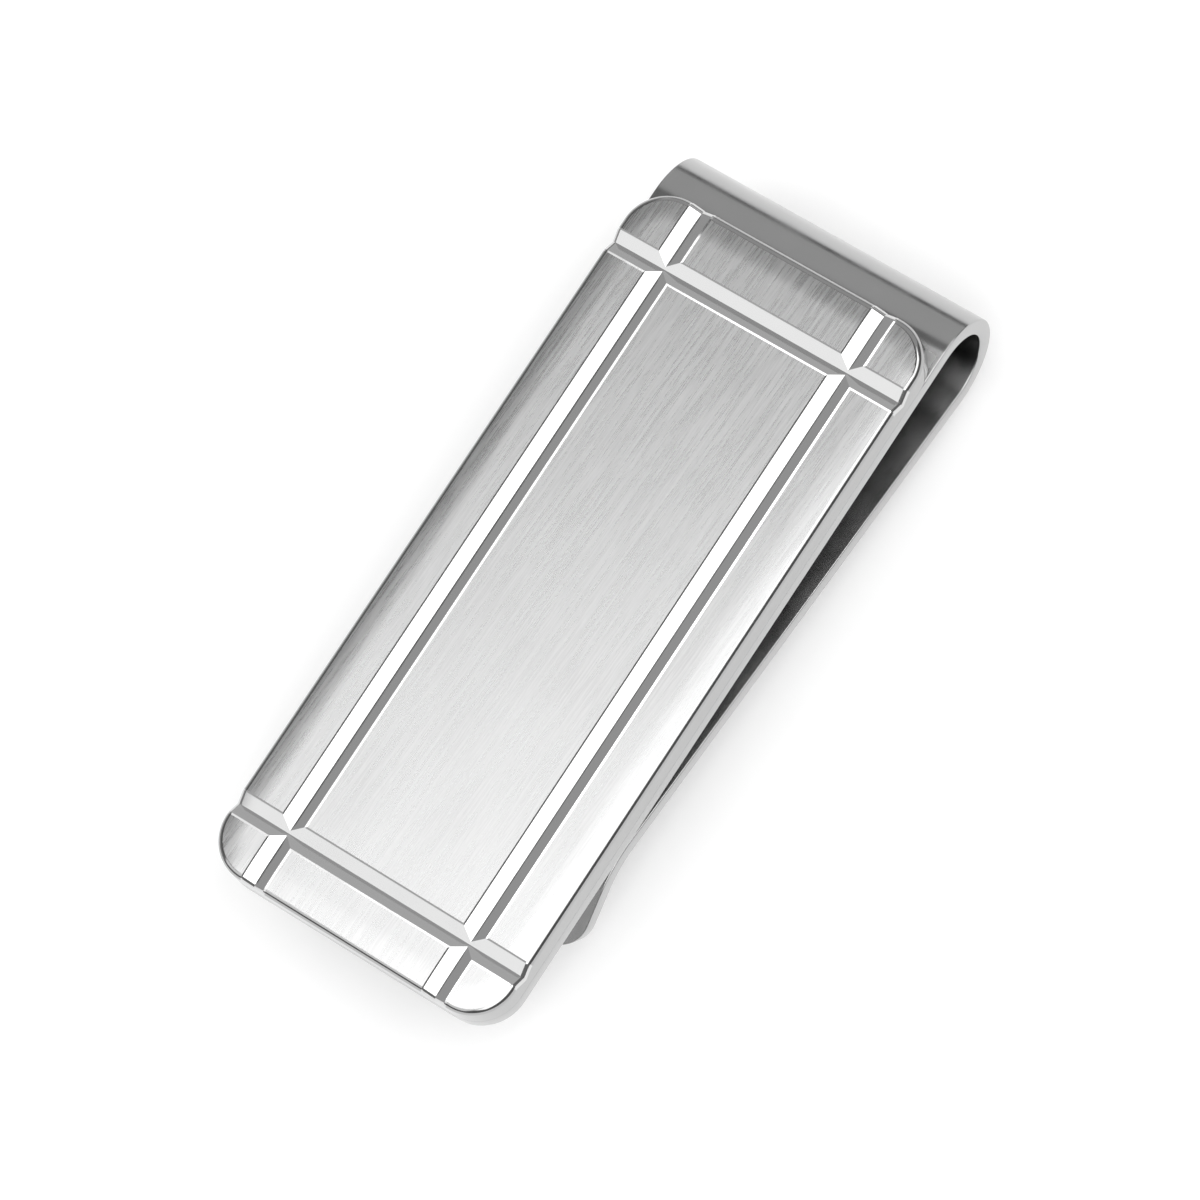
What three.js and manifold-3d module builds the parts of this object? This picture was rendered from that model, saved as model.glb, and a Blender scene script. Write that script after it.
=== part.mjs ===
// Money clip: a grooved face plate brazed to one leaf of a bent steel spring strip.
//
// Frame, in millimetres: +X runs along the clip towards the closed bend, +Y across it and +Z out of
// the face. The origin is under the middle of the clip, at the height of the lowest metal.
// The strip is one bent piece of metal. It is divided here where its curvature changes, so that the
// rear leg can swing about the centre of the bend as the real strip flexes.

import * as THREE from 'three';
import { mergeVertices } from 'three/addons/utils/BufferGeometryUtils.js';
import Module from 'manifold-3d';

const wasm = await Module();
wasm.setup();

// ---- Driving dimensions ------------------------------------------------------------------------

const WIDTH = 22; // across the plate and the strip
const PLATE_LENGTH = 50.7; // open end of the plate to its end at the bend
const PLATE_THICKNESS = 1.85;
const PLATE_CORNER_RADIUS = 3;
const ROLL_WIDTH = 1.2; // soft fall of the face towards its edges, seen from above
const ROLL_DROP = 0.28; // height lost over that width

const GROOVE_INSET_SIDE = 4.1; // valley line to the plate's long edges
const GROOVE_INSET_OPEN = 4; // valley line to the plate's open end
const GROOVE_INSET_BEND = 4.6; // valley line to the plate's end at the bend
const CROSS_GROOVE_WIDTH = 1.54;
const CROSS_GROOVE_DEPTH = 0.45;
const LONG_GROOVE_WIDTH = 1.62;
const LONG_GROOVE_DEPTH = 0.34;

const BRAZE_THICKNESS = 0.05;
const BRAZE_SETBACK = 0.35; // filler stops short of the plate's edges

const STRIP_THICKNESS = 1.1;
const BEND_GAP = 5.5; // clear height inside the bend
const BEND_OFFSET = 0.25; // plate's end to the centre of the bend, towards the open end
const CONTACT_X = 14; // open end of the plate to the line where the leg touches the leaf
const CONTACT_RADIUS = 5; // middle of the strip, over the contact line
const CONTACT_CLEARANCE = 0.05; // air left under the leaf with the clip closed
const LIP_ANGLE = THREE.MathUtils.degToRad(30); // slope of the lead-in lip
const TIP_X = 7.2; // open end of the plate to the tip of the lip
const TIP_CORNER_RADIUS = 2.2;

const BEND_STEPS = 24;
const CONTACT_STEPS = 8;
const CORNER_STEPS = 8;
const ROLL_STEPS = 5;

// ---- Derived places, measured from the plate's open end and down from its face ---------------------

const bendRadius = (BEND_GAP + STRIP_THICKNESS) / 2; // middle of the strip
const outerRadius = bendRadius + STRIP_THICKNESS / 2;
const leafTop = -(PLATE_THICKNESS + BRAZE_THICKNESS);
const leafBottom = leafTop - STRIP_THICKNESS;
const bendCentre = new THREE.Vector2(
  PLATE_LENGTH - BEND_OFFSET,
  leafTop - STRIP_THICKNESS / 2 - bendRadius,
);
const contactCentre = new THREE.Vector2(
  CONTACT_X,
  leafBottom - CONTACT_CLEARANCE - STRIP_THICKNESS / 2 - CONTACT_RADIUS,
);

// The straight leg is the inner tangent of the bend's circle and the contact's circle.
const betweenCentres = bendCentre.clone().sub(contactCentre);
const legSlope = Math.asin((bendRadius + CONTACT_RADIUS) / betweenCentres.length()) - betweenCentres.angle();

const overallLength = bendCentre.x + outerRadius;
const overallHeight = outerRadius - bendCentre.y;
const toFrame = new THREE.Matrix4().makeTranslation(-overallLength / 2, 0, overallHeight);

// ---- Solids ----------------------------------------------------------------------------------------

function toSolid(geometry) {
  const bare = geometry.index ? geometry.toNonIndexed() : geometry.clone();
  bare.deleteAttribute('normal');
  bare.deleteAttribute('uv');
  const merged = mergeVertices(bare);
  return new wasm.Manifold(new wasm.Mesh({
    numProp: 3,
    vertProperties: new Float32Array(merged.attributes.position.array),
    triVerts: new Uint32Array(merged.index.array),
  }));
}

function toGeometry(solid) {
  const mesh = solid.getMesh();
  const geometry = new THREE.BufferGeometry();
  geometry.setAttribute('position', new THREE.BufferAttribute(mesh.vertProperties, 3));
  geometry.setIndex(new THREE.BufferAttribute(mesh.triVerts, 1));
  const facets = geometry.toNonIndexed();
  facets.computeVertexNormals();
  return facets;
}

// Outline in the X-Y plane with its own radius on the corners of each end.
function planOutline(startX, endX, width, startRadius, endRadius) {
  const half = width / 2;
  const outline = new THREE.Shape();
  outline.moveTo(startX + startRadius, -half);
  outline.lineTo(endX - endRadius, -half);
  if (endRadius > 0) {
    outline.absarc(endX - endRadius, -half + endRadius, endRadius, -Math.PI / 2, 0, false);
  }
  outline.lineTo(endX, half - endRadius);
  if (endRadius > 0) {
    outline.absarc(endX - endRadius, half - endRadius, endRadius, 0, Math.PI / 2, false);
  }
  outline.lineTo(startX + startRadius, half);
  outline.absarc(startX + startRadius, half - startRadius, startRadius, Math.PI / 2, Math.PI, false);
  outline.lineTo(startX, -half + startRadius);
  outline.absarc(startX + startRadius, -half + startRadius, startRadius, Math.PI, 1.5 * Math.PI, false);
  return outline;
}

function slab(outline, bottom, top) {
  const geometry = new THREE.ExtrudeGeometry(outline, {
    depth: top - bottom,
    bevelEnabled: false,
    curveSegments: CORNER_STEPS,
  });
  return geometry.translate(0, 0, bottom);
}

// A bar along Y, from a closed outline in the X-Z plane.
function crossBar(points, width) {
  const geometry = new THREE.ExtrudeGeometry(new THREE.Shape(points), {
    depth: width,
    bevelEnabled: false,
  });
  return geometry.rotateX(Math.PI / 2).translate(0, width / 2, 0);
}

// A bar along X, from a closed outline in the Y-Z plane.
function longBar(points, startX, endX) {
  const geometry = new THREE.ExtrudeGeometry(new THREE.Shape(points), {
    depth: endX - startX,
    bevelEnabled: false,
  });
  return geometry.rotateX(Math.PI / 2).rotateZ(Math.PI / 2).translate(startX, 0, 0);
}

// A vee that reaches the stated depth on the face and opens on upwards past it.
function veeOutline(valley, width, depth) {
  return [
    new THREE.Vector2(valley, -depth),
    new THREE.Vector2(valley + width, depth),
    new THREE.Vector2(valley - width, depth),
  ];
}

// The two corners of the strip's section at an angle around a bend: the outer one, then the inner one.
function stripSection(centre, radius, angle) {
  return [STRIP_THICKNESS / 2, -STRIP_THICKNESS / 2].map((offset) => {
    const arm = new THREE.Vector2(Math.cos(angle), Math.sin(angle));
    return arm.multiplyScalar(radius + offset).add(centre);
  });
}

// Strip outline of a bent stretch, out along one surface and back along the other.
function arcBand(centre, radius, startAngle, endAngle, steps) {
  const outer = [];
  const inner = [];
  for (let step = 0; step <= steps; step += 1) {
    const angle = THREE.MathUtils.lerp(startAngle, endAngle, step / steps);
    const [outerCorner, innerCorner] = stripSection(centre, radius, angle);
    outer.push(outerCorner);
    inner.unshift(innerCorner);
  }
  return [...outer, ...inner];
}

function buildPlate() {
  const outline = planOutline(
    ROLL_WIDTH,
    PLATE_LENGTH - ROLL_WIDTH,
    WIDTH - 2 * ROLL_WIDTH,
    PLATE_CORNER_RADIUS - ROLL_WIDTH,
    PLATE_CORNER_RADIUS - ROLL_WIDTH,
  );
  const straight = 2 * (PLATE_THICKNESS - ROLL_DROP);
  const rolled = new THREE.ExtrudeGeometry(outline, {
    depth: straight,
    bevelEnabled: true,
    bevelThickness: ROLL_DROP,
    bevelSize: ROLL_WIDTH,
    bevelSegments: ROLL_STEPS,
    curveSegments: CORNER_STEPS,
  }).translate(0, 0, -ROLL_DROP - straight);
  const keep = slab(
    planOutline(-WIDTH, PLATE_LENGTH + WIDTH, 2 * WIDTH, ROLL_WIDTH, ROLL_WIDTH),
    -PLATE_THICKNESS,
    PLATE_THICKNESS,
  );
  let plate = toSolid(rolled).intersect(toSolid(keep));
  for (const valley of [GROOVE_INSET_SIDE - WIDTH / 2, WIDTH / 2 - GROOVE_INSET_SIDE]) {
    const vee = veeOutline(valley, LONG_GROOVE_WIDTH, LONG_GROOVE_DEPTH);
    plate = plate.subtract(toSolid(longBar(vee, -WIDTH, PLATE_LENGTH + WIDTH)));
  }
  for (const valley of [GROOVE_INSET_OPEN, PLATE_LENGTH - GROOVE_INSET_BEND]) {
    const vee = veeOutline(valley, CROSS_GROOVE_WIDTH, CROSS_GROOVE_DEPTH);
    plate = plate.subtract(toSolid(crossBar(vee, 2 * WIDTH)));
  }
  return toGeometry(plate);
}

function buildBraze() {
  const outline = planOutline(
    BRAZE_SETBACK,
    bendCentre.x - BRAZE_SETBACK,
    WIDTH - 2 * BRAZE_SETBACK,
    PLATE_CORNER_RADIUS - BRAZE_SETBACK,
    0,
  );
  return slab(outline, leafTop, -PLATE_THICKNESS);
}

function buildLeaf() {
  return slab(planOutline(0, bendCentre.x, WIDTH, PLATE_CORNER_RADIUS, 0), leafBottom, leafTop);
}

const legStartAngle = -Math.PI / 2 - legSlope;
const contactStartAngle = Math.PI / 2 - legSlope;
const contactEndAngle = Math.PI / 2 + LIP_ANGLE;

function buildBend() {
  return crossBar(arcBand(bendCentre, bendRadius, Math.PI / 2, legStartAngle, BEND_STEPS), WIDTH);
}

function buildLeg() {
  const bendEnd = stripSection(bendCentre, bendRadius, legStartAngle);
  const contactEnd = stripSection(contactCentre, CONTACT_RADIUS, contactStartAngle);
  return crossBar([...bendEnd, ...contactEnd], WIDTH);
}

function buildContactFold() {
  const band = arcBand(contactCentre, CONTACT_RADIUS, contactStartAngle, contactEndAngle, CONTACT_STEPS);
  return crossBar(band, WIDTH);
}

function buildLip() {
  const root = stripSection(contactCentre, CONTACT_RADIUS, contactEndAngle);
  const reach = (root[0].x - TIP_X) / Math.cos(LIP_ANGLE);
  const run = new THREE.Vector2(-Math.cos(LIP_ANGLE), -Math.sin(LIP_ANGLE)).multiplyScalar(reach);
  const tip = root.map((corner) => corner.clone().add(run)).reverse();
  const lip = crossBar([...root, ...tip], WIDTH);
  const plan = planOutline(tip[1].x, CONTACT_X, WIDTH, TIP_CORNER_RADIUS, 0);
  const column = slab(plan, -overallHeight - outerRadius, outerRadius);
  return toGeometry(toSolid(lip).intersect(toSolid(column)));
}

// ---- Materials and assembly ------------------------------------------------------------------------

function steel(color, roughness) {
  return new THREE.MeshStandardMaterial({ color, roughness, metalness: 1 });
}

const brushedSteel = { color: '#c9cacb', roughness: 0.38 };
const polishedSteel = { color: '#bfc0c1', roughness: 0.16 };
const brazeFiller = { color: '#a8a69c', roughness: 0.5 };

const pieces = [
  { name: 'face_plate', build: buildPlate, finish: brushedSteel },
  { name: 'braze_film', build: buildBraze, finish: brazeFiller },
  { name: 'front_leaf', build: buildLeaf, finish: polishedSteel },
  { name: 'spring_bend', build: buildBend, finish: polishedSteel },
  { name: 'rear_leg', build: buildLeg, finish: polishedSteel },
  { name: 'contact_fold', build: buildContactFold, finish: polishedSteel },
  { name: 'lead_in_lip', build: buildLip, finish: polishedSteel },
];

const moneyClip = new THREE.Group();
for (const { name, build, finish } of pieces) {
  const mesh = new THREE.Mesh(build().applyMatrix4(toFrame), steel(finish.color, finish.roughness));
  mesh.name = name;
  moneyClip.add(mesh);
}

export default moneyClip;
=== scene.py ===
"""Looks of a steel money clip: a grooved, brushed face plate on a bent and polished spring strip.

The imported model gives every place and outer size, in metres. Sizes of the finish, such as edge
radii and groove sections, are named in millimetres in the classes that use them.
"""

from __future__ import annotations

import logging
import math
from dataclasses import dataclass, field
from enum import Enum
from typing import Any, Sequence

import bmesh
import bpy
import numpy as np
from mathutils import Matrix, Vector

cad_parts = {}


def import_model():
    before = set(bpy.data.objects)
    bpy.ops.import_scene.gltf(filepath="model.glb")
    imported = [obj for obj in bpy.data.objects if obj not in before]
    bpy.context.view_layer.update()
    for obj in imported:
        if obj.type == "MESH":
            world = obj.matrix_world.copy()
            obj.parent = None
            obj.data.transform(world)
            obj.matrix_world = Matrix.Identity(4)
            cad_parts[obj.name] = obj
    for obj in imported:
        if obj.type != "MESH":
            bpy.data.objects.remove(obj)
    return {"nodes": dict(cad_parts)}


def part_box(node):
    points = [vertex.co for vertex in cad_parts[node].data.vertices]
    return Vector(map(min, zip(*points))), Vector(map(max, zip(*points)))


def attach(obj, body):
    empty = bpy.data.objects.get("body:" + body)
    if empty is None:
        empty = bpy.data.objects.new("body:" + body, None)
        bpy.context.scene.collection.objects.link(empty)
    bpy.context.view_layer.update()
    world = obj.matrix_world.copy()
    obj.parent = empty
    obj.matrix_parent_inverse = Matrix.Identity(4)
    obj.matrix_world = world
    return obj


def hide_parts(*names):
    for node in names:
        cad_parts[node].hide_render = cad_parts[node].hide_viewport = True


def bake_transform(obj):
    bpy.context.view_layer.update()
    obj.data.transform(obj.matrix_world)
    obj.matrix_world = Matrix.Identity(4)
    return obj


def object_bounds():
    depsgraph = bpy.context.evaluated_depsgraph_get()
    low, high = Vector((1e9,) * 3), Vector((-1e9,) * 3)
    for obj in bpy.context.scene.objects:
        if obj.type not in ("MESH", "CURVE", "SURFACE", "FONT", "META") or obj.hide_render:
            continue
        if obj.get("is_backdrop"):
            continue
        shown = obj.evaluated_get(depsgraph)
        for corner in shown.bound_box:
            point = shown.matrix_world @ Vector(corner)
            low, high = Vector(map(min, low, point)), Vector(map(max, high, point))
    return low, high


LOG = logging.getLogger("money_clip")
MM = 0.001


class Body(Enum):
    """The rigid bodies that pieces ride on."""

    PLATE = "plate_and_leaf"
    LEG = "spring_leg"


class Slot(Enum):
    """Material slot names for the pieces that are built here; no piece is given one."""

    PLATE = "brushed_plate"
    STRIP = "polished_strip"


# ---- Shader graphs -------------------------------------------------------------------------------


@dataclass(frozen=True)
class Signal:
    """A shader output that can be used in Python sums and products."""

    graph: "Graph"
    socket: bpy.types.NodeSocket

    def _math(self, operation: str, first: Any, second: Any) -> "Signal":
        """Joins two values with one Math node."""
        return self.graph.node("ShaderNodeMath", {"operation": operation}, {0: first, 1: second})

    def __add__(self, other: Any) -> "Signal":
        """self + other."""
        return self._math("ADD", self, other)

    def __radd__(self, other: Any) -> "Signal":
        """other + self."""
        return self._math("ADD", other, self)

    def __sub__(self, other: Any) -> "Signal":
        """self - other."""
        return self._math("SUBTRACT", self, other)

    def __rsub__(self, other: Any) -> "Signal":
        """other - self."""
        return self._math("SUBTRACT", other, self)

    def __mul__(self, other: Any) -> "Signal":
        """self * other."""
        return self._math("MULTIPLY", self, other)

    def __rmul__(self, other: Any) -> "Signal":
        """other * self."""
        return self._math("MULTIPLY", other, self)

    def __truediv__(self, other: Any) -> "Signal":
        """self / other."""
        return self._math("DIVIDE", self, other)

    def ramp(self, low: float, high: float, to_low: float, to_high: float) -> "Signal":
        """Maps one range smoothly to another, held at both ends.

        Args:
            low: the value that becomes to_low.
            high: the value that becomes to_high.
            to_low: the result's start.
            to_high: the result's end.

        Returns:
            The mapped value.
        """
        values = {"Value": self, "From Min": low, "From Max": high, "To Min": to_low, "To Max": to_high}
        return self.graph.node("ShaderNodeMapRange", {"interpolation_type": "SMOOTHSTEP"}, values)


class Graph:
    """Builds a node tree."""

    def __init__(self, tree: bpy.types.NodeTree) -> None:
        """Takes a tree and empties it.

        Args:
            tree: the node tree.
        """
        self.tree = tree
        self.tree.nodes.clear()

    def node(
        self,
        kind: str,
        settings: dict[str, Any] | None = None,
        values: dict[int | str, Any] | None = None,
        output: int | str = 0,
    ) -> Signal:
        """Adds a node, sets it up, links it and returns one of its outputs.

        Args:
            kind: the node's type name.
            settings: properties of the node.
            values: inputs by name or index, each a constant or a Signal.
            output: the output to return.

        Returns:
            The chosen output.
        """
        made = self.tree.nodes.new(kind)
        for key, value in (settings or {}).items():
            setattr(made, key, value)
        for key, value in (values or {}).items():
            if isinstance(value, Signal):
                self.tree.links.new(value.socket, made.inputs[key])
            else:
                made.inputs[key].default_value = value
        return Signal(self, made.outputs[output])


class FinishGraph(Graph):
    """Builds one material's node tree."""

    def __init__(self, name: str) -> None:
        """Starts a material with an empty tree.

        Args:
            name: the material's name.
        """
        self.material = bpy.data.materials.new(name)
        self.material.use_nodes = True
        super().__init__(self.material.node_tree)

    def place(self, scale: Sequence[float], turn_deg: float = 0.0) -> Signal:
        """Object coordinates in millimetres, turned about Z and stretched.

        Args:
            scale: pattern repeats per millimetre on each axis.
            turn_deg: turn about Z, in degrees.

        Returns:
            The coordinates.
        """
        source = self.node("ShaderNodeTexCoord", output="Object")
        turned = self.node(
            "ShaderNodeMapping",
            values={"Vector": source, "Rotation": (0.0, 0.0, math.radians(turn_deg))},
        )
        stretch = tuple(s / MM for s in scale)
        return self.node("ShaderNodeMapping", values={"Vector": turned, "Scale": stretch})

    def noise(self, coordinates: Signal, detail: float = 3.0, roughness: float = 0.55) -> Signal:
        """Fractal noise from 0 to 1.

        Args:
            coordinates: where the noise is read.
            detail: octaves.
            roughness: how strong each finer octave is.

        Returns:
            The noise.
        """
        values = {"Vector": coordinates, "Scale": 1.0, "Detail": detail, "Roughness": roughness}
        return self.node("ShaderNodeTexNoise", values=values)

    def mix(self, share: Signal, low: Sequence[float], high: Sequence[float]) -> Signal:
        """A colour between two colours.

        Args:
            share: how far from the first to the second, 0 to 1.
            low: the first colour.
            high: the second.

        Returns:
            The colour.
        """
        made = self.tree.nodes.new("ShaderNodeMix")
        made.data_type = "RGBA"
        self.tree.links.new(share.socket, made.inputs["Factor"])
        made.inputs[6].default_value = (*low, 1.0)
        made.inputs[7].default_value = (*high, 1.0)
        return Signal(self, made.outputs[2])

    def bump(self, height: Signal, depth_mm: float, strength: float, under: Signal | None = None) -> Signal:
        """A bumped normal.

        Args:
            height: the height pattern, 0 to 1.
            depth_mm: what 1 stands for, in millimetres.
            strength: the share of the effect that is used.
            under: a bump that this one goes on.

        Returns:
            The normal.
        """
        values: dict[int | str, Any] = {"Height": height, "Distance": depth_mm * MM, "Strength": strength}
        if under is not None:
            values["Normal"] = under
        return self.node("ShaderNodeBump", values=values)

    def surface(self, values: dict[int | str, Any]) -> bpy.types.Material:
        """Ends the tree in one Principled shader.

        Args:
            values: the shader's inputs by name, each a constant or a Signal.

        Returns:
            The material.
        """
        shader = self.node("ShaderNodeBsdfPrincipled", values=values)
        output = self.tree.nodes.new("ShaderNodeOutputMaterial")
        self.tree.links.new(shader.socket, output.inputs["Surface"])
        return self.material


# ---- Finishes ------------------------------------------------------------------------------------


@dataclass(frozen=True)
class BrushedSteel:
    """Satin steel, brushed along the clip, for the top of the plate."""

    dark: tuple[float, float, float] = (0.57, 0.57, 0.57)
    light: tuple[float, float, float] = (0.67, 0.67, 0.67)
    roughness: tuple[float, float] = (0.265, 0.315)
    lay_deg: float = 2.0
    fine_lines: tuple[float, float, float] = (0.3, 9.0, 3.0)
    coarse_lines: tuple[float, float, float] = (0.12, 4.0, 1.0)
    clouds: tuple[float, float, float] = (0.12, 0.16, 0.2)
    cloud_share: float = 0.05
    scratch_depth_mm: float = 0.0001

    def make(self) -> bpy.types.Material:
        """Builds the finish.

        Returns:
            The material.
        """
        g = FinishGraph("brushed_steel")
        fine = g.noise(g.place(self.fine_lines, self.lay_deg), 3.0, 0.7)
        coarse = g.noise(g.place(self.coarse_lines, self.lay_deg), 2.0)
        cloud = g.noise(g.place(self.clouds), 2.0)
        streaks = (fine * 0.7 + coarse * 0.3).ramp(0.38, 0.62, 0.0, 1.0)
        low, high = self.roughness
        rough = streaks * (high - low) + low + (cloud - 0.5) * self.cloud_share
        normal = g.bump(fine, self.scratch_depth_mm, 1.0)
        normal = g.bump(coarse, self.scratch_depth_mm, 1.0, normal)
        return g.surface({
            "Base Color": g.mix(streaks, self.dark, self.light),
            "Metallic": 1.0,
            "Roughness": rough,
            "Normal": normal,
        })


@dataclass(frozen=True)
class PolishedSteel:
    """Bright steel with cloudy buffing marks and, where rubbed, short fine scratches."""

    name: str
    color: tuple[float, float, float] = (0.44, 0.44, 0.44)
    roughness: tuple[float, float] = (0.15, 0.25)
    waviness_mm: float = 0.009
    scratches: float = 0.6
    scratch_depth_mm: float = 0.0016

    def make(self) -> bpy.types.Material:
        """Builds the finish.

        Returns:
            The material.
        """
        g = FinishGraph(self.name)
        cloud = g.noise(g.place((0.25, 0.35, 0.35)), 3.0)
        lines = g.noise(g.place((2.0, 14.0, 6.0), 35.0), 4.0, 0.65)
        lines_across = g.noise(g.place((9.0, 1.6, 4.0), 20.0), 3.0, 0.6)
        low, high = self.roughness
        rough = cloud.ramp(0.3, 0.75, low, high) + (lines - 0.5) * 0.06
        wave = g.noise(g.place((0.18, 0.22, 0.22)), 1.0)
        normal = g.bump(wave, self.waviness_mm, 1.0)
        marks = lines * 0.6 + lines_across * 0.4
        normal = g.bump(marks, self.scratch_depth_mm, self.scratches, normal)
        tint = tuple(c * 1.08 for c in self.color)
        return g.surface({
            "Base Color": g.mix(cloud, self.color, tint),
            "Metallic": 1.0,
            "Roughness": rough,
            "Normal": normal,
        })


@dataclass(frozen=True)
class CutSteel:
    """The mirror-bright flanks that a diamond tool leaves, with its faint feed lines."""

    color: tuple[float, float, float] = (0.62, 0.62, 0.62)
    roughness: tuple[float, float] = (0.07, 0.13)

    def make(self) -> bpy.types.Material:
        """Builds the finish.

        Returns:
            The material.
        """
        g = FinishGraph("cut_steel")
        feed = g.noise(g.place((3.0, 3.0, 18.0)), 2.0)
        cloud = g.noise(g.place((0.4, 0.4, 0.4)), 2.0)
        low, high = self.roughness
        rough = cloud.ramp(0.3, 0.7, low, high)
        tint = tuple(c * 1.05 for c in self.color)
        return g.surface({
            "Base Color": g.mix(cloud, self.color, tint),
            "Metallic": 1.0,
            "Roughness": rough,
            "Normal": g.bump(feed, 0.0004, 0.4),
        })


@dataclass(frozen=True)
class BrazeMetal:
    """Dull silvery filler in the seam between the plate and the leaf."""

    color: tuple[float, float, float] = (0.4, 0.4, 0.4)

    def make(self) -> bpy.types.Material:
        """Builds the finish.

        Returns:
            The material.
        """
        g = FinishGraph("braze_metal")
        grain = g.noise(g.place((3.0, 3.0, 3.0)), 4.0)
        tint = tuple(c * 1.25 for c in self.color)
        return g.surface({
            "Base Color": g.mix(grain, self.color, tint),
            "Metallic": 1.0,
            "Roughness": grain.ramp(0.2, 0.8, 0.4, 0.6),
            "Normal": g.bump(grain, 0.004, 0.6),
        })


@dataclass(frozen=True)
class PaleFloor:
    """A plain, pale, matt table top."""

    color: tuple[float, float, float] = (0.85, 0.85, 0.85)
    glow: float = 0.2

    def make(self) -> bpy.types.Material:
        """Builds the finish.

        Returns:
            The material.
        """
        g = FinishGraph("pale_floor")
        grain = g.noise(g.place((0.01, 0.01, 0.01)), 1.0)
        tint = tuple(min(1.0, c * 1.005) for c in self.color)
        return g.surface({
            "Base Color": g.mix(grain, self.color, tint),
            "Roughness": 0.9,
            "Emission Color": (1.0, 1.0, 1.0, 1.0),
            "Emission Strength": self.glow,
        })


# ---- Mesh helpers --------------------------------------------------------------------------------


def new_piece(
    name: str,
    vertices: np.ndarray,
    faces: list[tuple[int, ...]],
    materials: Sequence[bpy.types.Material],
    slots: Sequence[int] | None = None,
    sharp_deg: float = 14.0,
) -> bpy.types.Object:
    """Makes a smooth-shaded mesh object at the origin, with its hard edges marked.

    Args:
        name: the piece's name.
        vertices: places in millimetres, one row each.
        faces: vertex indices, counter-clockwise from outside.
        materials: the piece's materials.
        slots: the material index of each face.
        sharp_deg: edges that turn by more than this are hard.

    Returns:
        The object.
    """
    mesh = bpy.data.meshes.new(name)
    mesh.from_pydata((vertices * MM).tolist(), [], faces)
    for material in materials:
        mesh.materials.append(material)
    if slots is not None:
        mesh.polygons.foreach_set("material_index", np.array(slots, np.int32))
    return show(mesh, sharp_deg)


def show(mesh: bpy.types.Mesh, sharp_deg: float) -> bpy.types.Object:
    """Turns a closed mesh right side out, smooths it and puts it in the scene.

    Args:
        mesh: the mesh, whose faces agree with each other.
        sharp_deg: edges that turn by more than this are hard.

    Returns:
        The object.
    """
    work = bmesh.new()
    work.from_mesh(mesh)
    if work.calc_volume(signed=True) < 0.0:
        bmesh.ops.reverse_faces(work, faces=work.faces)
        work.to_mesh(mesh)
    work.free()
    mesh.polygons.foreach_set("use_smooth", np.ones(len(mesh.polygons), bool))
    mesh.set_sharp_from_angle(angle=math.radians(sharp_deg))
    mesh.update()
    piece = bpy.data.objects.new(mesh.name, mesh)
    bpy.context.scene.collection.objects.link(piece)
    return piece


def box_mm(node: str) -> tuple[Vector, Vector]:
    """The lowest and highest corners of a CAD node, in millimetres."""
    low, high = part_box(node)
    return low / MM, high / MM


# ---- Face plate ----------------------------------------------------------------------------------


class PlateFace(Enum):
    """Material index of each kind of face on the plate."""

    BRUSHED = 0
    CUT = 1
    RIM = 2


@dataclass
class GridLine:
    """One line of the plate's grid.

    Attributes:
        place: distance along the axis.
        groove: the groove's valley that the line belongs to, or None.
        share: where it is in the groove, from -1 to 1, or just beyond that on the burr's foot.
    """

    place: float
    groove: float | None = None
    share: float = 0.0

    def within(self, other: "GridLine") -> bool:
        """Whether both lines belong to the same groove."""
        return self.groove is not None and self.groove == other.groove


@dataclass(frozen=True)
class Groove:
    """The section of a straight cut: a V with a fine burr along each edge."""

    half_width: float
    depth: float
    burr_height: float
    burr_width: float

    def level(self, line: GridLine) -> float:
        """Height of the cut above the face.

        Args:
            line: a grid line.

        Returns:
            The height at the line, or infinity outside the cut.
        """
        if line.groove is None or abs(line.share) > 1.0:
            return math.inf
        return -self.depth + abs(line.share) * (self.depth + self.burr_height)

    def lines(self, valley: float, shares: Sequence[float]) -> list[GridLine]:
        """Grid lines across one cut, in rising order.

        Args:
            valley: the place of the valley.
            shares: rising shares of the half width, from above 0 to 1.

        Returns:
            The lines.
        """
        foot = 1.0 + self.burr_width / self.half_width
        rising = [*shares, foot]
        both = [-share for share in reversed(rising)] + [0.0] + rising
        return [GridLine(valley + share * self.half_width, valley, share) for share in both]


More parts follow.
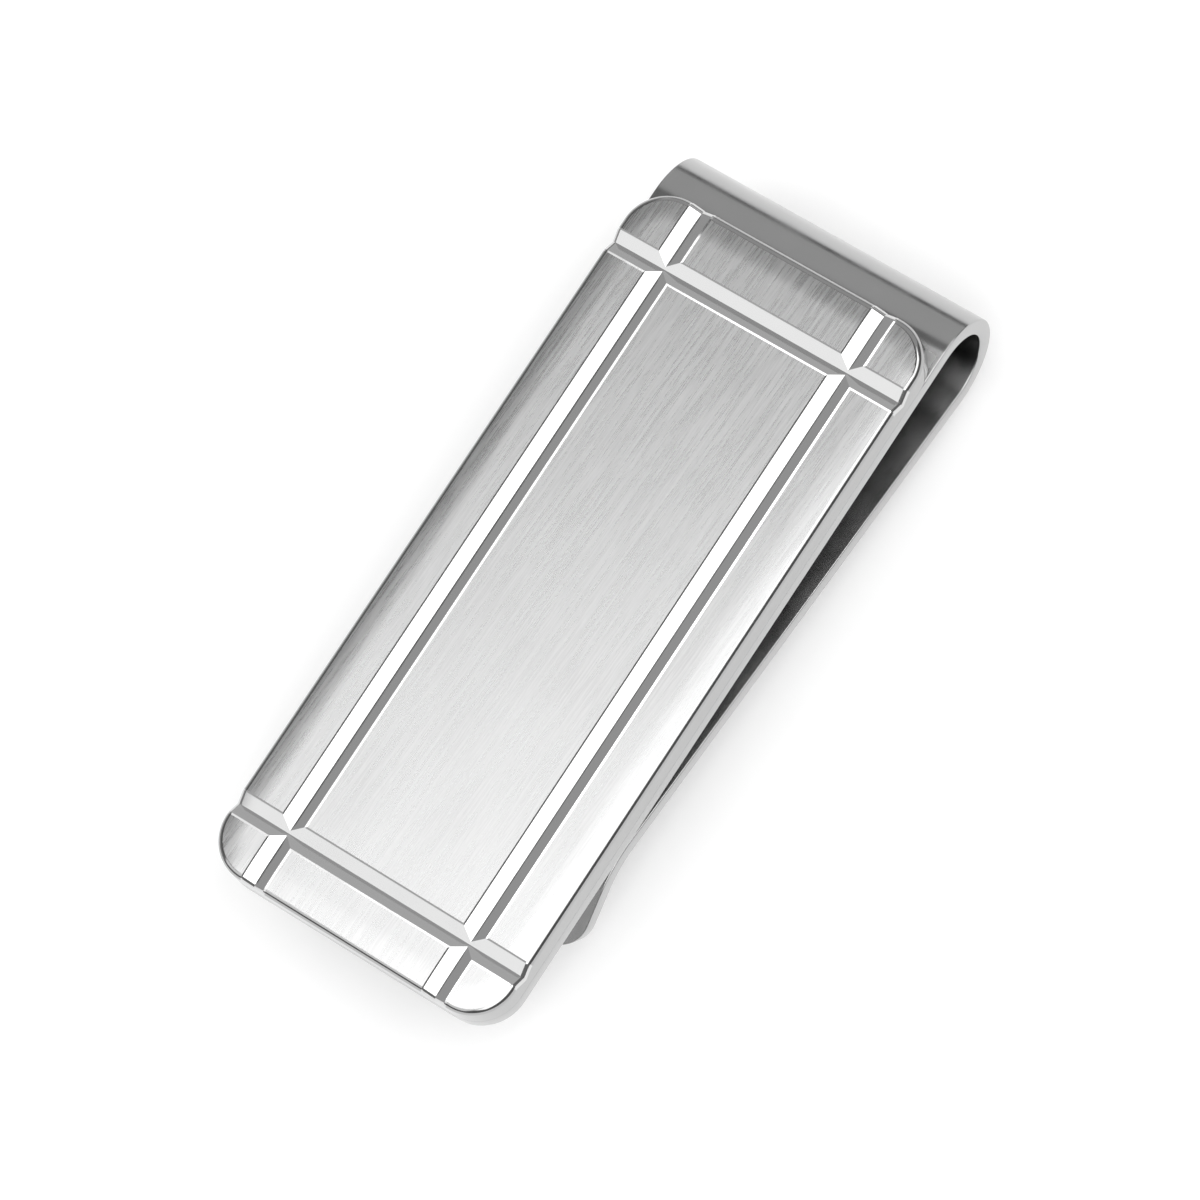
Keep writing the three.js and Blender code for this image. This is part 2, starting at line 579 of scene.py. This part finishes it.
@dataclass
class FacePlate:
    """The thick plate with a rolled-off brushed face, a polished rim and four cut grooves."""

    corner_radius: float = 3.0
    roll_width: float = 1.9
    roll_drop: float = 0.12
    roll_power: float = 2.0
    edge_radius: float = 0.38
    bend_edge_radius: float = 0.5
    groove_inset_side: float = 4.1
    groove_inset_open: float = 4.0
    groove_inset_bend: float = 4.6
    long_groove: Groove = Groove(0.81, 0.34, 0.035, 0.12)
    cross_groove: Groove = Groove(0.77, 0.45, 0.035, 0.12)
    seam_fill: float = 0.03
    edge_steps: int = 24
    border_steps: int = 16
    flank_steps: int = 4
    cell_mm: float = 0.8
    sharp_deg: float = 7.0
    low: Vector = field(init=False)
    high: Vector = field(init=False)

    def __post_init__(self) -> None:
        """Reads the plate's place from the frame."""
        self.low, self.high = box_mm("face_plate")

    def edge_at(self, x: float) -> float:
        """Radius of the top edge; buffing has worn it wider at the bend.

        Args:
            x: place along the plate.

        Returns:
            The radius.
        """
        share = min(1.0, max(0.0, (x - self.high.x + self.corner_radius) / self.corner_radius))
        worn = share * share * (3.0 - 2.0 * share)
        return self.edge_radius + (self.bend_edge_radius - self.edge_radius) * worn

    def fall(self, inset: float, x: float) -> float:
        """How far the face has fallen.

        Args:
            inset: distance in from the outline.
            x: place along the plate.

        Returns:
            The fall below the flat face.
        """
        rolled = max(0.0, 1.0 - inset / self.roll_width) ** self.roll_power * self.roll_drop
        radius = self.edge_at(x)
        into_edge = max(0.0, radius - inset)
        return rolled + radius - math.sqrt(radius**2 - into_edge**2)

    def border_insets(self) -> list[float]:
        """Distances in from the outline that get a grid line.

        Returns:
            The distances, rising from 0 to the corner's radius.
        """
        radius = self.bend_edge_radius
        around = [
            radius * (1.0 - math.cos(math.pi / 2 * k / self.edge_steps)) for k in range(self.edge_steps + 1)
        ]
        wide = self.corner_radius - radius
        return around + [radius + wide * k / self.border_steps for k in range(1, self.border_steps + 1)]

    def mitre_shares(self) -> tuple[list[float], list[float]]:
        """Shares whose lines meet on the mitres.

        Returns:
            The shares for the cross grooves and for the long ones.
        """
        long_cut, cross_cut = self.long_groove, self.cross_groove
        long_shares = [k / self.flank_steps for k in range(self.flank_steps + 1)]
        rise = cross_cut.depth + cross_cut.burr_height
        cross_shares = [
            (cross_cut.depth + long_cut.level(GridLine(0.0, 0.0, share))) / rise for share in long_shares
        ]
        return cross_shares, long_shares[1:]

    def lines(
        self, start: float, end: float, valleys: tuple[float, float], cut: Groove, shares: Sequence[float]
    ) -> list[GridLine]:
        """Grid lines along one axis, in rising order.

        Args:
            start: the outline's lower place.
            end: its higher place.
            valleys: the places of the two grooves.
            cut: the grooves' section.
            shares: the shares of its half width that get a line.

        Returns:
            The lines.
        """
        insets = self.border_insets()
        first, last = (cut.lines(valley, shares) for valley in valleys)
        span = last[0].place - first[-1].place
        count = round(span / self.cell_mm)
        middle = [GridLine(first[-1].place + span * k / count) for k in range(1, count)]
        opening = [GridLine(start + inset) for inset in insets if start + inset < first[0].place]
        closing = [GridLine(end - inset) for inset in reversed(insets) if end - inset > last[-1].place]
        return opening + first + middle + last + closing

    def inset_of(self, x: float, y: float) -> tuple[float, float]:
        """Distances in from the nearer ends and from the nearer sides."""
        return min(x - self.low.x, self.high.x - x), min(y - self.low.y, self.high.y - y)

    def point(self, along: GridLine, across: GridLine) -> tuple[float, float, float]:
        """The place of one vertex of the top, with the corners of the grid drawn in to the outline's arcs.

        Args:
            along: its line along the plate.
            across: its line across the plate.

        Returns:
            The place.
        """
        x, y = along.place, across.place
        inset_x, inset_y = self.inset_of(x, y)
        into_x, into_y = self.corner_radius - inset_x, self.corner_radius - inset_y
        if into_x > 0.0 and into_y > 0.0:
            reach = max(into_x, into_y)
            turn = math.pi / 4 * min(into_x, into_y) / reach
            if into_y > into_x:
                turn = math.pi / 2 - turn
            side_x = math.copysign(1.0, x - (self.low.x + self.high.x) / 2)
            side_y = math.copysign(1.0, y - (self.low.y + self.high.y) / 2)
            end_x = self.high.x if side_x > 0 else self.low.x
            end_y = self.high.y if side_y > 0 else self.low.y
            x = end_x - side_x * (self.corner_radius - reach * math.cos(turn))
            y = end_y - side_y * (self.corner_radius - reach * math.sin(turn))
        cut = min(self.cross_groove.level(along), self.long_groove.level(across))
        level = 0.0 if math.isinf(cut) else cut
        face = self.high.z - self.cross_groove.burr_height
        return x, y, face - self.fall(min(inset_x, inset_y), along.place) + level

    def kind_of(self, a0: GridLine, a1: GridLine, b0: GridLine, b1: GridLine) -> PlateFace:
        """The kind of face between two lines along and two lines across.

        Args:
            a0: first line along.
            a1: next line along.
            b0: first line across.
            b1: next line across.

        Returns:
            The kind.
        """
        if a0.within(a1) or b0.within(b1):
            return PlateFace.CUT
        x, y = (a0.place + a1.place) / 2, (b0.place + b1.place) / 2
        worn = min(self.inset_of(x, y)) < self.edge_at(x)
        return PlateFace.RIM if worn else PlateFace.BRUSHED

    @staticmethod
    def split(
        corners: tuple[int, int, int, int], lines: tuple[GridLine, GridLine, GridLine, GridLine]
    ) -> list[tuple[int, ...]]:
        """Splits a cell where two grooves cross, along their mitre, and leaves any other whole.

        Args:
            corners: the cell's four vertices.
            lines: its two lines along and two lines across.

        Returns:
            The cell's faces.
        """
        a0, a1, b0, b1 = lines
        if not (a0.within(a1) and b0.within(b1)):
            return [corners]
        p, q, r, s = corners
        same_side = (a0.share + a1.share) * (b0.share + b1.share) > 0
        return [(p, q, r), (p, r, s)] if same_side else [(p, q, s), (q, r, s)]

    def build(self, finishes: dict[PlateFace, bpy.types.Material]) -> bpy.types.Object:
        """Builds the plate.

        Args:
            finishes: the material of each kind of face.

        Returns:
            The plate's object.
        """
        cross_shares, long_shares = self.mitre_shares()
        valleys_x = (self.low.x + self.groove_inset_open, self.high.x - self.groove_inset_bend)
        valleys_y = (self.low.y + self.groove_inset_side, self.high.y - self.groove_inset_side)
        along = self.lines(self.low.x, self.high.x, valleys_x, self.cross_groove, cross_shares)
        across = self.lines(self.low.y, self.high.y, valleys_y, self.long_groove, long_shares)
        columns, rows = len(along), len(across)
        top = [self.point(a, b) for a in along for b in across]
        faces: list[tuple[int, ...]] = []
        slots: list[int] = []
        for i in range(columns - 1):
            for j in range(rows - 1):
                corners = (i * rows + j, (i + 1) * rows + j, (i + 1) * rows + j + 1, i * rows + j + 1)
                cell = (along[i], along[i + 1], across[j], across[j + 1])
                pieces = self.split(corners, cell)
                faces += pieces
                slots += [self.kind_of(*cell).value] * len(pieces)
        ring = (
            [i * rows for i in range(columns)]
            + [(columns - 1) * rows + j for j in range(1, rows)]
            + [i * rows + rows - 1 for i in range(columns - 2, -1, -1)]
            + list(range(rows - 2, 0, -1))
        )
        vertices = np.array(top)
        foot = vertices[ring].copy()
        foot[:, 2] = self.low.z - self.seam_fill
        base, count = len(vertices), len(ring)
        for k in range(count):
            after = (k + 1) % count
            faces.append((ring[k], base + k, base + after, ring[after]))
        faces.append(tuple(base + k for k in reversed(range(count))))
        slots += [PlateFace.RIM.value] * (count + 1)
        materials = [finishes[kind] for kind in PlateFace]
        vertices = np.vstack([vertices, foot])
        return new_piece("grooved_plate", vertices, faces, materials, slots, self.sharp_deg)


# ---- Spring strip --------------------------------------------------------------------------------


@dataclass
class Station:
    """One section of the strip: its centre, the way it runs, and how much of it is left."""

    centre: Vector
    run: Vector
    half_width: float
    half_thickness: float


@dataclass(frozen=True)
class RolledBend:
    """A straight bar rolled round an arc, with a short straight left at each end."""

    radius: float
    turn: float
    straight: float
    width: float
    thickness: float
    edge_radius: float
    steps: int = 150

    def tree(self, finish: bpy.types.Material) -> bpy.types.NodeTree:
        """Builds the node tree that rolls the bar.

        Args:
            finish: the bar's material.

        Returns:
            The tree, with a named input for each size.
        """
        tree = bpy.data.node_groups.new("rolled_bend", "GeometryNodeTree")
        for name, kind in (
            ("Radius", "Float"), ("Turn", "Float"), ("Straight", "Float"), ("Width", "Float"),
            ("Thickness", "Float"), ("Edge Radius", "Float"), ("Steps", "Int"),
        ):
            tree.interface.new_socket(name, in_out="INPUT", socket_type=f"NodeSocket{kind}")
        tree.interface.new_socket("Mesh", in_out="OUTPUT", socket_type="NodeSocketGeometry")
        g = Graph(tree)
        sizes = tree.nodes.new("NodeGroupInput")
        inputs = (Signal(g, out) for out in sizes.outputs[:7])
        radius, turn, straight, width, thickness, edge, steps = inputs
        length = radius * turn + straight
        start = g.node("ShaderNodeCombineXYZ", values={"X": straight * -1.0})
        end = g.node("ShaderNodeCombineXYZ", values={"X": length})
        line = g.node("GeometryNodeCurvePrimitiveLine", values={"Start": start, "End": end})
        line = g.node("GeometryNodeResampleCurve", values={"Curve": line, "Count": steps})
        section = g.node("GeometryNodeCurvePrimitiveQuadrilateral", values={0: width, 1: thickness})
        section = g.node(
            "GeometryNodeFilletCurve",
            {"mode": "POLY"},
            {"Curve": section, "Count": 5, "Radius": edge},
        )
        bar = g.node(
            "GeometryNodeCurveToMesh", values={"Curve": line, "Profile Curve": section, "Fill Caps": True}
        )
        place = g.node("GeometryNodeInputPosition")
        along, side, out = (g.node("ShaderNodeSeparateXYZ", values={0: place}, output=k) for k in range(3))
        angle = g.node("ShaderNodeClamp", values={"Value": along / radius, "Min": 0.0, "Max": turn})
        beyond = along - angle * radius
        sine = g.node("ShaderNodeMath", {"operation": "SINE"}, {0: angle})
        cosine = g.node("ShaderNodeMath", {"operation": "COSINE"}, {0: angle})
        reach = radius + out
        rolled = g.node("ShaderNodeCombineXYZ", values={
            "X": reach * sine + beyond * cosine,
            "Y": side,
            "Z": reach * cosine - beyond * sine,
        })
        bar = g.node("GeometryNodeSetPosition", values={"Geometry": bar, "Position": rolled})
        bar = g.node("GeometryNodeRealizeInstances", values={"Geometry": bar})
        bar = g.node("GeometryNodeSetMaterial", values={"Geometry": bar, "Material": finish})
        result = tree.nodes.new("NodeGroupOutput")
        tree.links.new(bar.socket, result.inputs[0])
        return tree

    def build(self, name: str, centre: Vector, finish: bpy.types.Material) -> bpy.types.Object:
        """Builds the bend.

        Args:
            name: the piece's name.
            centre: the arc's centre, in millimetres.
            finish: its material.

        Returns:
            The piece.
        """
        holder = bpy.data.objects.new("bend_holder", bpy.data.meshes.new("bend_holder"))
        bpy.context.scene.collection.objects.link(holder)
        roll = holder.modifiers.new("roll", "NODES")
        roll.node_group = self.tree(finish)
        values = {
            "Radius": self.radius * MM, "Turn": self.turn, "Straight": self.straight * MM,
            "Width": self.width * MM, "Thickness": self.thickness * MM,
            "Edge Radius": self.edge_radius * MM, "Steps": self.steps,
        }
        for item in roll.node_group.interface.items_tree:
            if item.in_out == "INPUT":
                roll[item.identifier] = values[item.name]
        graph = bpy.context.evaluated_depsgraph_get()
        mesh = bpy.data.meshes.new_from_object(holder.evaluated_get(graph))
        mesh.name = name
        bpy.data.objects.remove(holder)
        mesh.transform(Matrix.Translation(centre * MM))
        return show(mesh, 25.0)


@dataclass
class SpringStrip:
    """The bent strip, in the stretches that move differently."""

    edge_radius: float = 0.1
    tip_edge_radius: float = 0.2
    leaf_corner_radius: float = 3.0
    lip_corner_radius: float = 2.2
    contact_radius: float = 5.0
    seam_offset: float = 0.4
    edge_steps: int = 5
    tip_steps: int = 14
    tip_edge_steps: int = 7
    leaf_steps: int = 60
    leg_steps: int = 24
    fold_steps: int = 40
    lip_steps: int = 12
    thickness: float = field(init=False)
    half_width: float = field(init=False)
    leaf_start: float = field(init=False)
    leaf_level: float = field(init=False)
    bend_radius: float = field(init=False)
    bend_centre: Vector = field(init=False)
    tip_x: float = field(init=False)
    lip_angle: float = field(init=False)
    contact_centre: Vector = field(init=False)
    leg_slope: float = field(init=False)

    def __post_init__(self) -> None:
        """Works out the path of the strip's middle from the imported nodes."""
        leaf_low, leaf_high = box_mm("front_leaf")
        bend_low, bend_high = box_mm("spring_bend")
        fold_low, fold_high = box_mm("contact_fold")
        self.thickness = leaf_high.z - leaf_low.z
        self.half_width = (leaf_high.y - leaf_low.y) / 2
        self.leaf_start = leaf_low.x
        self.leaf_level = (leaf_high.z + leaf_low.z) / 2
        outer = (bend_high.z - bend_low.z) / 2
        self.bend_radius = outer - self.thickness / 2
        self.bend_centre = Vector((leaf_high.x, 0.0, self.leaf_level - self.bend_radius))
        self.tip_x = box_mm("lead_in_lip")[0].x
        self.lip_angle = self.lip_slope()
        # The fold touches the leaf where its top is level, and starts at the lip.
        outer_fold = self.contact_radius + self.thickness / 2
        contact_x = fold_low.x + outer_fold * math.sin(self.lip_angle)
        self.contact_centre = Vector((contact_x, 0.0, fold_high.z - outer_fold))
        between = self.bend_centre - self.contact_centre
        reach = math.hypot(between.x, between.z)
        lift = math.atan2(between.z, between.x)
        self.leg_slope = math.asin((self.bend_radius + self.contact_radius) / reach) - lift

    def lip_slope(self) -> float:
        """The lip's slope below level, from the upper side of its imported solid.

        Returns:
            The slope, in radians.
        """
        mesh = bpy.data.objects["lead_in_lip"].data
        slopes = [
            abs(math.atan2(p.normal.x, p.normal.z))
            for p in mesh.polygons
            if abs(p.normal.y) < 1e-3 and p.normal.z > 0.5
        ]
        return float(np.median(slopes))

    def leg_path(self) -> list[tuple[Vector, Vector]]:
        """The leg, the fold and the lip.

        Returns:
            Points on the middle of the strip, from the bend's end to the tip, each with the way it runs.
        """
        slope = self.leg_slope
        down_leg = Vector((-math.cos(slope), 0.0, math.sin(slope)))
        start = self.bend_end() + down_leg * self.seam_offset
        arm = Vector((math.sin(slope), 0.0, math.cos(slope)))
        fold_start = self.contact_centre + arm * self.contact_radius
        length = (fold_start - start).length
        path = [(start + down_leg * length * k / self.leg_steps, down_leg) for k in range(self.leg_steps)]
        for k in range(self.fold_steps + 1):
            turn = slope - (slope + self.lip_angle) * k / self.fold_steps
            arm = Vector((math.sin(turn), 0.0, math.cos(turn)))
            run = Vector((-math.cos(turn), 0.0, math.sin(turn)))
            path.append((self.contact_centre + arm * self.contact_radius, run))
        end, run = path[-1]
        lower = Vector((-run.z, 0.0, run.x)) * (self.thickness / 2)
        reach = (end.x - abs(lower.x) - self.tip_x) / -run.x
        path += [(end + run * reach * k / self.lip_steps, run) for k in range(1, self.lip_steps + 1)]
        return path

    def bend_end(self) -> Vector:
        """Middle of the strip where the bend runs into the leg."""
        slope = self.leg_slope
        return self.bend_centre - Vector((math.sin(slope), 0.0, math.cos(slope))) * self.bend_radius

    def leaf_path(self) -> list[tuple[Vector, Vector]]:
        """The leaf.

        Returns:
            Points on the middle of the strip, from the bend's seam to the open end, each with its way.
        """
        run = Vector((-1.0, 0.0, 0.0))
        start = self.bend_centre.x - self.seam_offset
        length = start - self.leaf_start
        steps = self.leaf_steps
        return [(Vector((start - length * k / steps, 0.0, self.leaf_level)), run) for k in range(steps + 1)]

    def stations(self, path: list[tuple[Vector, Vector]], corner_radius: float) -> list[Station]:
        """Sections along a path, drawn in around the corners of its far end.

        Args:
            path: middle points and directions, ending at the tip.
            corner_radius: the tip's corner radius in plan.

        Returns:
            The sections.
        """
        half = self.thickness / 2
        end, run = path[-1]
        made = [
            Station(c, r, self.half_width, half) for c, r in path if (end - c).length > corner_radius * 1.02
        ]
        rounded = self.tip_edge_radius
        quarter = math.pi / 2
        insets = [
            corner_radius * (1.0 - math.sin(quarter * k / self.tip_steps)) for k in range(self.tip_steps)
        ]
        insets = [inset for inset in insets if inset > rounded]
        insets += [
            rounded * (1.0 - math.sin(quarter * k / self.tip_edge_steps))
            for k in range(self.tip_edge_steps + 1)
        ]
        for inset in insets:
            into_corner = max(0.0, corner_radius - inset)
            width = self.half_width - corner_radius + math.sqrt(corner_radius**2 - into_corner**2)
            into_edge = max(0.0, rounded - inset)
            pull = rounded - math.sqrt(max(0.0, rounded**2 - into_edge**2))
            made.append(Station(end - run * inset, run, width, half - pull))
        return made

    def ring(self, station: Station) -> list[Vector]:
        """The outline of one section: a flat bar with rounded edges.

        Args:
            station: the section.

        Returns:
            The points around it, in millimetres.
        """
        radius = min(self.edge_radius, station.half_thickness * 0.95)
        up = Vector((station.run.z, 0.0, -station.run.x))
        side = Vector((0.0, 1.0, 0.0))
        points = []
        centres = ((1, 1, 0.0), (-1, 1, 0.5), (-1, -1, 1.0), (1, -1, 1.5))
        for side_sign, up_sign, start in centres:
            centre_side = side_sign * (station.half_width - radius)
            centre_up = up_sign * (station.half_thickness - radius)
            for k in range(self.edge_steps + 1):
                angle = math.pi * (start + 0.5 * k / self.edge_steps)
                offset = side * (centre_side + radius * math.cos(angle))
                offset += up * (centre_up + radius * math.sin(angle))
                points.append(station.centre + offset)
        return points

    def sweep(self, name: str, stations: list[Station], finish: bpy.types.Material) -> bpy.types.Object:
        """Skins a row of sections and closes both ends.

        Args:
            name: the piece's name.
            stations: the sections, in order.
            finish: its material.

        Returns:
            The piece.
        """
        rings = [self.ring(station) for station in stations]
        count = len(rings[0])
        vertices = np.array([list(point) for ring in rings for point in ring])
        faces: list[tuple[int, ...]] = []
        for k in range(len(rings) - 1):
            for j in range(count):
                after = (j + 1) % count
                here, there = k * count, (k + 1) * count
                faces.append((here + j, here + after, there + after, there + j))
        faces.append(tuple(reversed(range(count))))
        faces.append(tuple((len(rings) - 1) * count + j for j in range(count)))
        return new_piece(name, vertices, faces, [finish], sharp_deg=25.0)

    def build(self, finish: bpy.types.Material) -> None:
        """Builds the three stretches and ties the leaf and the leg to their bodies.

        Args:
            finish: their material.
        """
        leaf = self.sweep("strip_leaf", self.stations(self.leaf_path(), self.leaf_corner_radius), finish)
        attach(leaf, Body.PLATE.value)
        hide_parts("front_leaf")
        leg = self.sweep("strip_leg", self.stations(self.leg_path(), self.lip_corner_radius), finish)
        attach(leg, Body.LEG.value)
        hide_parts("rear_leg", "contact_fold", "lead_in_lip")
        rolled = RolledBend(
            self.bend_radius, math.pi + self.leg_slope, self.seam_offset,
            2.0 * self.half_width, self.thickness, self.edge_radius,
        )
        bend = rolled.build("strip_bend", self.bend_centre, finish)
        inner = Vector((0.0, 0.0, self.bend_radius - self.thickness / 2))
        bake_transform(bend)
        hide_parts("spring_bend")
        for piece in (leaf, leg, bend):
            LOG.info("%s: %d faces", piece.name, len(piece.data.polygons))


# ---- Studio --------------------------------------------------------------------------------------


@dataclass(frozen=True)
class SoftBox:
    """A flat rectangular light that points at the clip.

    Attributes:
        name: what the light is called.
        way: its direction from the clip: azimuth from +X and elevation, in degrees.
        span: its width and height, in degrees as seen from the clip.
        radiance: how bright it is.
        distance: how far off it is, in metres.
    """

    name: str
    way: tuple[float, float]
    span: tuple[float, float]
    radiance: float
    distance: float = 0.6

    def make(self, target: Vector) -> None:
        """Adds the light.

        Args:
            target: the point that it faces, in metres.
        """
        azimuth, elevation = (math.radians(angle) for angle in self.way)
        out = Vector((
            math.cos(elevation) * math.cos(azimuth),
            math.cos(elevation) * math.sin(azimuth),
            math.sin(elevation),
        ))
        right = Vector((-math.sin(azimuth), math.cos(azimuth), 0.0))
        up = out.cross(right)
        light = bpy.data.lights.new(self.name, "AREA")
        light.shape = "RECTANGLE"
        width, height = (2.0 * self.distance * math.tan(math.radians(angle / 2)) for angle in self.span)
        light.size, light.size_y = width, height
        light.energy = self.radiance * 4.0 * width * height
        lamp = bpy.data.objects.new(self.name, light)
        turn = Matrix((right, up, out)).transposed().to_4x4()
        lamp.matrix_world = Matrix.Translation(target + out * self.distance) @ turn
        bpy.context.scene.collection.objects.link(lamp)


@dataclass
class Studio:
    """The floor, the lights and the camera."""

    azimuth_deg: float = -21.96
    elevation_deg: float = 67.91
    roll_deg: float = -36.0
    distance: float = 0.4412
    field_deg: float = 9.5
    aim: tuple[float, float] = (-0.00101, -0.0018)
    world_grey: float = 0.18
    floor_half: float = 3.0
    floor_drop: float = 0.0037

    def camera(self, face_level: float) -> None:
        """Adds the camera, aimed at a point on the face.

        Args:
            face_level: height of the face, in metres.
        """
        azimuth, elevation = math.radians(self.azimuth_deg), math.radians(self.elevation_deg)
        back = Vector((
            math.sin(azimuth) * math.cos(elevation),
            -math.cos(azimuth) * math.cos(elevation),
            math.sin(elevation),
        ))
        right = Vector((0.0, 0.0, 1.0)).cross(back).normalized()
        up = back.cross(right)
        roll = math.radians(self.roll_deg)
        turned_right = right * math.cos(roll) + up * math.sin(roll)
        turned_up = up * math.cos(roll) - right * math.sin(roll)
        lens = bpy.data.cameras.new("camera")
        lens.sensor_fit = "HORIZONTAL"
        lens.angle = math.radians(self.field_deg)
        lens.clip_start, lens.clip_end = 0.01, 20.0
        camera = bpy.data.objects.new("camera", lens)
        basis = Matrix((turned_right, turned_up, back)).transposed().to_4x4()
        target = Vector((*self.aim, face_level))
        camera.matrix_world = Matrix.Translation(target + back * self.distance) @ basis
        bpy.context.scene.collection.objects.link(camera)
        bpy.context.scene.camera = camera

    def floor(self, level: float) -> None:
        """Adds the table top, low enough for the lip when the leg is open.

        Args:
            level: height of the lowest metal with the clip closed, in metres.
        """
        half = self.floor_half / MM
        corners = np.array([(-half, -half, 0.0), (half, -half, 0.0), (half, half, 0.0), (-half, half, 0.0)])
        corners[:, 2] = (level - self.floor_drop) / MM
        new_piece("floor", corners, [(0, 1, 2, 3)], [PaleFloor().make()])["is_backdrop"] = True

    def lights(self, target: Vector) -> None:
        """Adds the soft boxes and the grey surroundings, and keeps clean whites white.

        Args:
            target: the point that the boxes face, in metres.
        """
        world = bpy.data.worlds.new("studio")
        world.use_nodes = True
        world.node_tree.nodes["Background"].inputs["Color"].default_value = (*(self.world_grey,) * 3, 1.0)
        bpy.context.scene.world = world
        boxes = (
            SoftBox("overhead_box", (-172.0, 82.5), (49.0, 40.0), 1.66),
            SoftBox("front_box", (-88.0, 60.5), (88.0, 33.0), 1.85),
            SoftBox("open_end_box", (158.0, 44.0), (50.0, 40.0), 0.85),
            SoftBox("bend_end_box", (15.0, 33.0), (60.0, 50.0), 0.3),
            SoftBox("back_box", (85.0, 14.0), (90.0, 24.0), 0.2),
        )
        for box in boxes:
            box.make(target)
        bpy.context.scene.view_settings.view_transform = "Standard"


# ---- Assembly ------------------------------------------------------------------------------------


def main() -> None:
    """Loads the frame, builds and dresses each sub-assembly, and sets up the studio."""
    logging.basicConfig(level=logging.INFO, format="%(name)s: %(message)s")
    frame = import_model()
    cad_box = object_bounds()
    polished = PolishedSteel("polished_strip").make()
    finishes = {
        PlateFace.BRUSHED: BrushedSteel().make(),
        PlateFace.CUT: CutSteel().make(),
        PlateFace.RIM: PolishedSteel("polished_rim", (0.40, 0.40, 0.40), (0.09, 0.15), 0.001, 0.2).make(),
    }
    plate = FacePlate().build(finishes)
    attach(plate, Body.PLATE.value)
    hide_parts("face_plate")
    LOG.info("%s: %d faces", plate.name, len(plate.data.polygons))
    SpringStrip().build(polished)
    braze = frame["nodes"]["braze_film"]
    braze.data.materials.clear()
    braze.data.materials.append(BrazeMetal().make())
    LOG.info("braze_film dressed")
    low, high = cad_box
    studio = Studio()
    studio.camera(high[2])
    studio.floor(low[2])
    studio.lights(Vector((0.0, 0.0, high[2])))
    LOG.info("sizes written")


if __name__ == "__main__":
    main()
